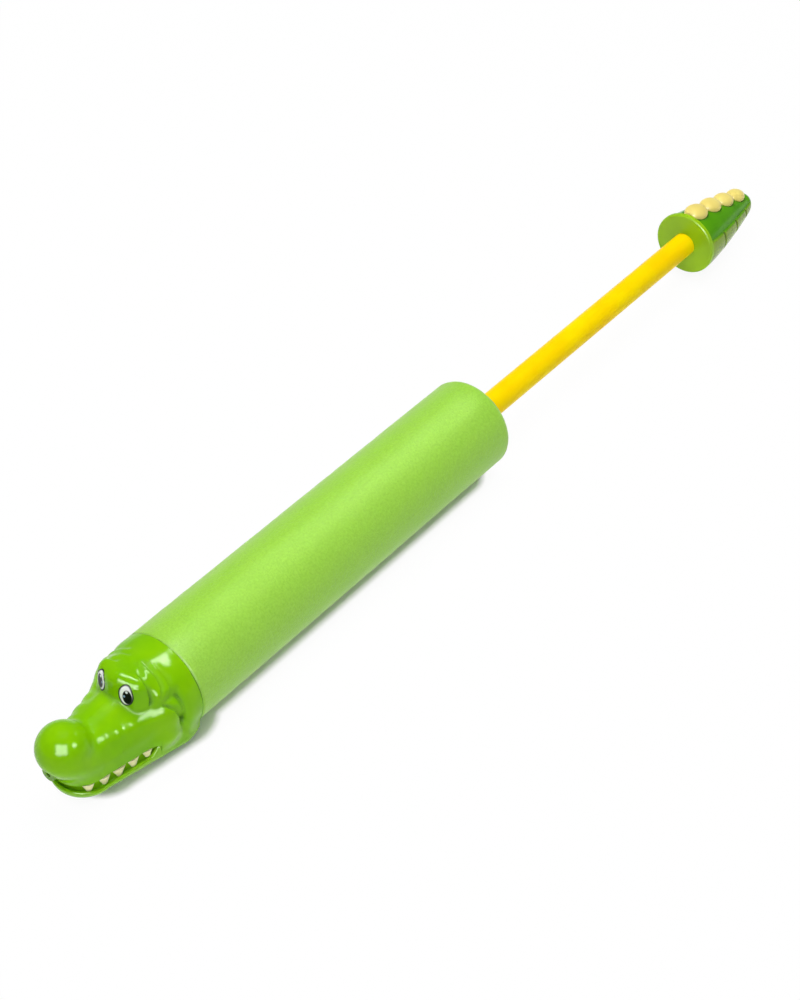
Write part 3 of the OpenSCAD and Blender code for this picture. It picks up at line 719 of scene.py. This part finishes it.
# Moulded finishes: light and dark shade, then what differs from the usual
PLASTICS = {
    # The crease colours are painted shade: what the head and the tail darken to in their folds and
    # grooves
    "head_green": dict(light=(138, 200, 0), dark=(120, 188, 0), gloss=0.12, crease_shade=(58, 112, 0)),
    # Painted light: the jaw's green is a lighter, paler copy of the head's, lifting the lower jaw
    # where it lies in shade
    "jaw_green_lit": dict(light=(146, 206, 20), dark=(130, 196, 14), gloss=0.2),
    "tail_green": dict(light=(92, 168, 0), dark=(76, 152, 0), gloss=0.12, bump=0.01,
                       crease_shade=(30, 70, 0), under=((140, 172, 44), BELLY_ACROSS, BELLY_LEVEL)),
    "tail_disc_green": dict(light=(156, 204, 0), dark=(140, 190, 0), rough=SATIN),
    "cream": dict(light=(252, 234, 132), dark=(238, 216, 112), rough=SATIN),
    # Painted light: the teeth take a lighter copy of the scutes' cream, brightened against the
    # shade under the lip
    "cream_lit_for_teeth": dict(light=(255, 250, 200), dark=(250, 240, 184), rough=SATIN),
    # Painted shade: the nozzle tip's green is darker than the head's, so that the outlet reads dark
    "nozzle_plastic": dict(light=(112, 168, 0), dark=(96, 150, 0), rough=(0.3, 0.45)),
    "rod_yellow": dict(light=(255, 226, 0), dark=(255, 212, 0), rough=(0.25, 0.35), gloss=0.04),
    "barrel_plastic": dict(light=(226, 232, 226), dark=(210, 218, 210)),
    "inner_plastic": dict(light=(232, 232, 226), dark=(214, 214, 206), rough=(0.35, 0.5)),
    "seal_rubber": dict(light=(34, 34, 34), dark=(22, 22, 22), rough=(0.55, 0.7), bump=0.15),
}
FINISH = {name: moulded(name, **look) for name, look in PLASTICS.items()}
FINISH["foam_green"] = foam_material()
FINISH["eye_print"] = eye_material()
FINISH["screw_steel"] = metal_material()


def dress(piece, finish, body, *replaced):
    """Gives a new piece its finish and its body, and hides the CAD nodes that it stands for."""
    piece.data.materials.append(FINISH[finish])
    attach(piece, body)
    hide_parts(*replaced)
    return piece


# Head, jaw and teeth: the boxes that their fields are meshed in, and the fineness
HEAD_BOX = ((-3, -31, -30), (87, 31, 33))
JAW_BOX = ((16, -29, -29), (82, 29, -8))
TEETH_BOX = ((26, -24, -19), (74, 24, -8))
HEAD_STEP = 0.45
TOOTH_STEP = 0.3
head = field_mesh("croc_head", head_form, HEAD_BOX, HEAD_STEP)
dress(head, "head_green", "barrel", "head_shell")
jaw = field_mesh("croc_jaw", jaw_form, JAW_BOX, HEAD_STEP)
dress(jaw, "jaw_green_lit", "barrel", "lower_jaw")
teeth = field_mesh("croc_teeth", teeth_form, TEETH_BOX, TOOTH_STEP)
dress(teeth, "cream_lit_for_teeth", "barrel", "tooth_strip")

# Printed eyes: ovals laid on the front of the mounds
EYE_MID = (33, 8.3, 21.1)
EYE_HALF = (4.0, 6.1)
EYE_YAW = math.radians(19)
EYE_PITCH = math.radians(8)
EYE_ROLL = math.radians(1)
EYE_LIFT = 0.12
EYE_SKIRT = 3 * EYE_LIFT
EYE_RINGS = 14
EYE_TURNS = 72
# The mound's skin is found by halving a stretch before and behind the oval
EYE_SEARCH = 7.0
EYE_HALVINGS = 30


def printed_eye(name, side):
    """Thin oval skin that follows the mound, with its edge turned into the head."""
    normal = np.array([math.cos(EYE_PITCH) * math.cos(EYE_YAW),
                       side * math.cos(EYE_PITCH) * math.sin(EYE_YAW), math.sin(EYE_PITCH)])
    level = np.array([-math.sin(EYE_YAW) * side, math.cos(EYE_YAW), 0])
    rise = np.cross(normal, level)
    across = math.cos(EYE_ROLL) * level + math.sin(EYE_ROLL) * rise
    up = -math.sin(EYE_ROLL) * level + math.cos(EYE_ROLL) * rise
    ring = np.linspace(0, 1, EYE_RINGS)[1:]
    turn = np.linspace(0, 2 * math.pi, EYE_TURNS, endpoint=False)
    u = np.concatenate([[0], (ring[:, None] * np.cos(turn)).ravel()])
    v = np.concatenate([[0], (ring[:, None] * np.sin(turn)).ravel()])
    start = np.array(EYE_MID) * (1, side, 1)
    start = start + EYE_HALF[0] * u[:, None] * across + EYE_HALF[1] * v[:, None] * up
    near, far = np.full(len(u), -EYE_SEARCH), np.full(len(u), EYE_SEARCH)
    for _ in range(EYE_HALVINGS):
        mid = (near + far) / 2
        inside = upper_head(start + mid[:, None] * normal) < 0
        near, far = np.where(inside, mid, near), np.where(inside, far, mid)
    skin = start + near[:, None] * normal + EYE_LIFT * normal
    skirt = skin[-EYE_TURNS:] - EYE_SKIRT * normal
    points = np.concatenate([skin, skirt])
    fan = [[0, 1 + j, 1 + (j + 1) % EYE_TURNS] for j in range(EYE_TURNS)]
    body = (tube_faces(len(ring) + 1, EYE_TURNS)[:, ::-1] + 1).tolist()
    faces = [face[::-1] for face in fan + body] if side < 0 else fan + body
    piece = new_object(name, place(points), faces)
    uv = np.stack([u * side, v], -1)
    uv = np.concatenate([uv, uv[-EYE_TURNS:]])
    layer = piece.data.uv_layers.new(name="print")
    for loop in piece.data.loops:
        layer.data[loop.index].uv = uv[loop.vertex_index]
    return piece


dress(printed_eye("eye_left", 1), "eye_print", "barrel", "left_eye")
dress(printed_eye("eye_right", -1), "eye_print", "barrel", "right_eye")

# Foam sleeve
FOAM_INNER_R = BARREL_R + GAP
FOAM_EDGE_R = 5
FOAM_TURNS = 288
# Spacing of the rings along the skin, round the rear edge in degrees and over the rear face
FOAM_STEP = 1.5
FOAM_EDGE_TURN = 9
FOAM_FACE_STEP = 1
# Rings at the bore's mouth: distance from the rear face and from the bore
FOAM_MOUTH = [(0.4, 0.2), (2, 0)]
# Unevenness: depth, scales of the coarse and the fine lumps, and the fine ones' share
FOAM_LUMP = 0.12
LUMP_SCALE = 0.16
FINE_LUMP_SCALE = 0.5
FINE_LUMP_SHARE = 0.5
SMOOTH_BORE = 0.5


def foam_sleeve():
    """Thick foam tube with a rounded rear edge, a flat where it rests and a faintly uneven skin."""
    arc = np.radians(np.arange(0, 90 + FOAM_EDGE_TURN, FOAM_EDGE_TURN))
    face_r = FOAM_R - FOAM_EDGE_R
    rows = [(x, FOAM_R) for x in np.arange(0, FOAM_REAR + FOAM_EDGE_R, -FOAM_STEP)]
    rows += [(FOAM_REAR + FOAM_EDGE_R * (1 - math.sin(a)), FOAM_R - FOAM_EDGE_R * (1 - math.cos(a)))
             for a in arc]
    rows += [(FOAM_REAR, r)
             for r in np.arange(face_r - FOAM_FACE_STEP, FOAM_INNER_R, -FOAM_FACE_STEP)]
    rows += [(FOAM_REAR + back, FOAM_INNER_R + out) for back, out in FOAM_MOUTH]
    rows = np.array(rows + [(0, FOAM_INNER_R)])
    turn = np.linspace(0, 2 * math.pi, FOAM_TURNS, endpoint=False)
    points = np.stack([np.repeat(rows[:, 0], FOAM_TURNS),
                       np.outer(rows[:, 1], np.sin(turn)).ravel(),
                       np.outer(rows[:, 1], np.cos(turn)).ravel()], -1)
    radius = np.repeat(rows[:, 1], FOAM_TURNS)
    lump = np.array([noise.noise(Vector(p * LUMP_SCALE))
                     + FINE_LUMP_SHARE * noise.noise(Vector(p * FINE_LUMP_SCALE)) for p in points])
    lump = np.where(radius > FOAM_INNER_R + SMOOTH_BORE, FOAM_LUMP * (lump - 1), 0)
    points[:, 1:] *= (1 + lump / radius)[:, None]
    points[:, 2] = np.maximum(points[:, 2], FLOOR_Z)
    last = (len(rows) - 1) * FOAM_TURNS
    ring = np.arange(FOAM_TURNS)
    closing = np.stack([last + ring, last + np.roll(ring, -1), np.roll(ring, -1), ring], -1)
    faces = np.concatenate([tube_faces(len(rows), FOAM_TURNS), closing])
    return new_object("foam_tube", place(points), faces.tolist())


foam = dress(foam_sleeve(), "foam_green", "barrel", "foam_sleeve")

# Tail and its scutes
TAIL_ROWS = 160
TAIL_TIP_ROWS = 40
TAIL_TURNS = 240
SCUTE_BOX = ((TAIL_END - 4, -12, -2), (TAIL_FRONT + 4, 12, 30))
SCUTE_STEP = 0.4


def tail_body():
    """Tapering tail with raised belly scales parted by curved grooves."""
    tip_start = TAIL_LEN - TAIL_TIP_R
    straight = np.linspace(0, tip_start, TAIL_ROWS)
    cap = tip_start + TAIL_TIP_R * np.sin(np.linspace(0, math.pi / 2, TAIL_TIP_ROWS + 1)[1:])
    s = np.concatenate([straight, cap])[:, None]
    turn = np.linspace(0, 2 * math.pi, TAIL_TURNS, endpoint=False)[None, :]
    from_back = np.abs((turn + math.pi) % (2 * math.pi) - math.pi)
    from_belly = math.pi - from_back
    plate = step_up(BELLY_TOP - from_belly, BELLY_EDGE)
    plate = plate * step_up(TAIL_LEN - BELLY_END - s, BELLY_FADE)
    bow = GROOVE_BOW * (from_belly / BELLY_TOP) ** 2
    for groove in GROOVES:
        plate = plate * (1 - np.exp(-((s - groove + bow - GROOVE_SHIFT) / GROOVE_HALF_W) ** 2))
    relief = BELLY_RAISE * (plate - 1) * step_up(tail_radius(s) - BELLY_MIN_R, BELLY_MIN_R)
    r = tail_radius(s) + relief
    x = np.broadcast_to(TAIL_FRONT - s, r.shape)
    points = np.stack([x, r * np.sin(turn), r * np.cos(turn) - tail_drop(s)], -1).reshape(-1, 3)
    return new_object("tail_body", place(points), tube_faces(len(s), TAIL_TURNS).tolist())


def scute_form(p):
    """Row of overlapping domes along the tail's back."""
    body = None
    for s, half_len, half_w, high in SCUTES:
        fall = tail_back(s - SCUTE_SPAN) - tail_back(s + SCUTE_SPAN)
        slope = math.atan(fall / (2 * SCUTE_SPAN))
        q = p - np.array([TAIL_FRONT - s, 0, tail_back(s) - SCUTE_SINK])
        turned = np.stack([q[..., 0] * math.cos(slope) + q[..., 2] * math.sin(slope), q[..., 1],
                           q[..., 2] * math.cos(slope) - q[..., 0] * math.sin(slope)], -1)
        dome = oval(turned, (0, 0, 0), (half_len, half_w, high + SCUTE_SINK))
        body = dome if body is None else join(body, dome, SCUTE_BLEND)
    return np.maximum(body, p[..., 0] - TAIL_FRONT + SCUTE_GAP)


dress(tail_body(), "tail_green", "plunger", "tail_shell")
scutes = field_mesh("tail_scutes", scute_form, SCUTE_BOX, SCUTE_STEP)
dress(scutes, "cream", "plunger", "back_scutes")

# CAD nodes that stay, with their finish
KEPT = {"nozzle_tip": "nozzle_plastic", "plunger_rod": "rod_yellow",
        "tail_end_cap": "tail_disc_green", "barrel_tube": "barrel_plastic",
        "nozzle_plug": "inner_plastic", "rear_cap": "inner_plastic", "rod_bush": "inner_plastic",
        "piston_core": "inner_plastic", "rod_front_plug": "inner_plastic",
        "rod_rear_plug": "inner_plastic", "plug_seal": "seal_rubber", "stop_washer": "seal_rubber",
        "piston_seals": "seal_rubber", "piston_screw": "screw_steel", "tail_screw": "screw_steel"}
for node_name, finish in KEPT.items():
    nodes[node_name].data.materials.clear()
    nodes[node_name].data.materials.append(FINISH[finish])

# Floor, in metres
FLOOR_HALF = 30.0
PAPER_DARK = (0.9, 0.9, 0.9, 1)
PAPER_LIGHT = (0.92, 0.92, 0.92, 1)
PAPER_SCALE = 8
# Where the object stands close to the floor, in millimetres: rear and front station, half width
# at each, and the edge over which the shadow there ends
FOOTPRINTS = [(-235, 0, 17.2, 17.2), (0, 45, 23.2, 16.4)]
CONTACT_EDGE = 4.5
# How far the floor is lifted to white, from close under the object to the open
CONTACT_REACH = 0.05
CONTACT_SHADE = (0.1, 0.5)
CONTACT_LIFT = (0.85, 0.98)


def footprint(tree, spot, rear, front, rear_half, front_half):
    """Distance on the floor from a tapering, round-ended outline."""
    ends = [float(place((station, 0, 0))[0]) for station in (rear, front)]
    along = add(tree, "ShaderNodeClamp", {"Value": spot["X"], "Min": ends[0], "Max": ends[1]})
    past = maths(tree, "SUBTRACT", spot["X"], along.outputs[0])
    offset = add(tree, "ShaderNodeCombineXYZ", {0: past, 1: spot["Y"]})
    reach = add(tree, "ShaderNodeVectorMath", {0: offset.outputs[0]}, operation="LENGTH")
    half = map_range(tree, along.outputs[0], *ends, rear_half * MM, front_half * MM)
    return maths(tree, "SUBTRACT", reach.outputs["Value"], half)


def floor_material():
    """Pale studio floor: white to the camera, with the object's shadow kept."""
    material, tree, output, coords = new_material("studio_floor")
    paper = noise_value(tree, coords, PAPER_SCALE)
    matt = add(tree, "ShaderNodeBsdfDiffuse",
               {"Color": two_tone(tree, paper, PAPER_DARK, PAPER_LIGHT)})
    white = add(tree, "ShaderNodeEmission", {"Color": (1, 1, 1, 1), "Strength": 1.0})
    path = add(tree, "ShaderNodeLightPath").outputs
    seen = maths(tree, "MAXIMUM", path["Is Camera Ray"], path["Is Glossy Ray"])
    seen = maths(tree, "MAXIMUM", seen, path["Is Transmission Ray"])
    lift = map_range(tree, occlusion(tree, CONTACT_REACH), *CONTACT_SHADE, *CONTACT_LIFT)
    spot = add(tree, "ShaderNodeSeparateXYZ", {0: coords.outputs["Object"]}).outputs
    apart = maths(tree, "MINIMUM", *[footprint(tree, spot, *outline) for outline in FOOTPRINTS])
    clear = map_range(tree, apart, 0.0, CONTACT_EDGE * MM)
    share = maths(tree, "MULTIPLY", maths(tree, "MULTIPLY", seen, lift), clear)
    mix = add(tree, "ShaderNodeMixShader", {0: share, 1: matt.outputs[0], 2: white.outputs[0]})
    tree.links.new(mix.outputs[0], output.inputs["Surface"])
    return material


floor_z = cad_box[0][2]
corners = np.array([(-1, -1), (1, -1), (1, 1), (-1, 1)]) * FLOOR_HALF
floor = new_object("floor", np.column_stack([corners, np.full(4, floor_z)]), [[0, 1, 2, 3]],
                   smooth=False)
floor.data.materials.append(floor_material())

# World: pale studio walls that darken upwards to a dim ceiling
WALL_LEVEL = 0.35
CEILING_LEVEL = 0.22
CEILING_START = 0.3


def studio_world():
    """Even grey light from all round, a little less from above."""
    world = bpy.data.worlds.new("studio")
    world.use_nodes = True
    tree = world.node_tree
    tree.nodes.clear()
    sky = add(tree, "ShaderNodeTexCoord")
    height = add(tree, "ShaderNodeSeparateXYZ", {0: sky.outputs["Generated"]})
    level = map_range(tree, height.outputs["Z"], 0.0, CEILING_START, WALL_LEVEL, CEILING_LEVEL)
    studio = add(tree, "ShaderNodeBackground", {"Color": (1, 1, 1, 1), "Strength": level})
    output = add(tree, "ShaderNodeOutputWorld")
    tree.links.new(studio.outputs[0], output.inputs["Surface"])
    return world


bpy.context.scene.world = studio_world()

# Lamps: aim in millimetres, direction from the aim, distance and size in metres, power in watts.
# Soft lamps light the surfaces, and softboxes are what the glossy skins reflect.
SOFT_LAMPS = {"overhead": ((0, 0, 0), (-0.2, -0.15, 0.97), 1.8, (1.1, 1.1), 27),
              "front_fill": ((0, 0, 0), (0.58, 0.47, 0.67), 1.7, (1.4, 1.2), 9)}
SOFTBOXES = {"key_box": ((60, 0, 0), (0.58, 0.47, 0.67), 1.7, (1.45, 1.3), 190),
             "nose_card": ((69.8, 9.9, 18.6), (-0.28, 0.76, 0.58), 0.048, (0.018, 0.018), 0.001),
             "bump_card": ((46, 13, 10), (-0.17, 0.75, 0.64), 0.048, (0.014, 0.022), 0.0021),
             "brow_card": ((28, 6, 28.7), (-0.25, -0.1, 0.96), 0.06, (0.02, 0.016), 0.0013),
             "collar_card": ((7.2, 10.3, 26), (-0.45, 0.13, 0.88), 0.06, (0.035, 0.012), 0.006),
             "foam_strip": ((-135, 0, 27.5), (-0.5, 0, 0.86), 0.12, (0.06, 0.2), 0.034)}
# The cards and the strip stand near the object, each with a narrow beam in degrees
BEAMS = {"nose_card": 26, "bump_card": 40, "brow_card": 30, "collar_card": 60, "foam_strip": 24}


def add_lamp(name, aim, direction, distance, size, power):
    """Rectangular lamp that faces its aim."""
    light = bpy.data.lights.new(name, "AREA")
    light.shape = "RECTANGLE"
    light.size, light.size_y = size
    light.energy = power
    lamp = bpy.data.objects.new(name, light)
    lamp.location = Vector(place(aim)) + Vector(direction).normalized() * distance
    lamp.rotation_euler = Vector(direction).to_track_quat("Z", "Y").to_euler()
    bpy.context.scene.collection.objects.link(lamp)
    return lamp


for lamp_name, setting in SOFT_LAMPS.items():
    add_lamp(lamp_name, *setting).visible_glossy = False
for lamp_name, setting in SOFTBOXES.items():
    add_lamp(lamp_name, *setting).visible_diffuse = False
for lamp_name, degrees in BEAMS.items():
    bpy.data.lights[lamp_name].spread = math.radians(degrees)

# Camera, at the photograph's place: millimetres from the collar's rear edge and the axis
CAMERA_FROM_COLLAR = (475.73, 530.26, 756.52)
CAMERA_ELEVATION = math.radians(42.155)
CAMERA_AZIMUTH = math.radians(38.529)
CAMERA_LENS = 73.8
CAMERA_SENSOR = 36
camera_data = bpy.data.cameras.new("camera")
camera_data.lens = CAMERA_LENS
camera_data.sensor_width = CAMERA_SENSOR
camera = bpy.data.objects.new("camera", camera_data)
camera.location = place(CAMERA_FROM_COLLAR)
camera.rotation_euler = (math.pi / 2 - CAMERA_ELEVATION, 0, math.pi / 2 + CAMERA_AZIMUTH)
bpy.context.scene.collection.objects.link(camera)
bpy.context.scene.camera = camera
bpy.context.scene.view_settings.view_transform = "Standard"
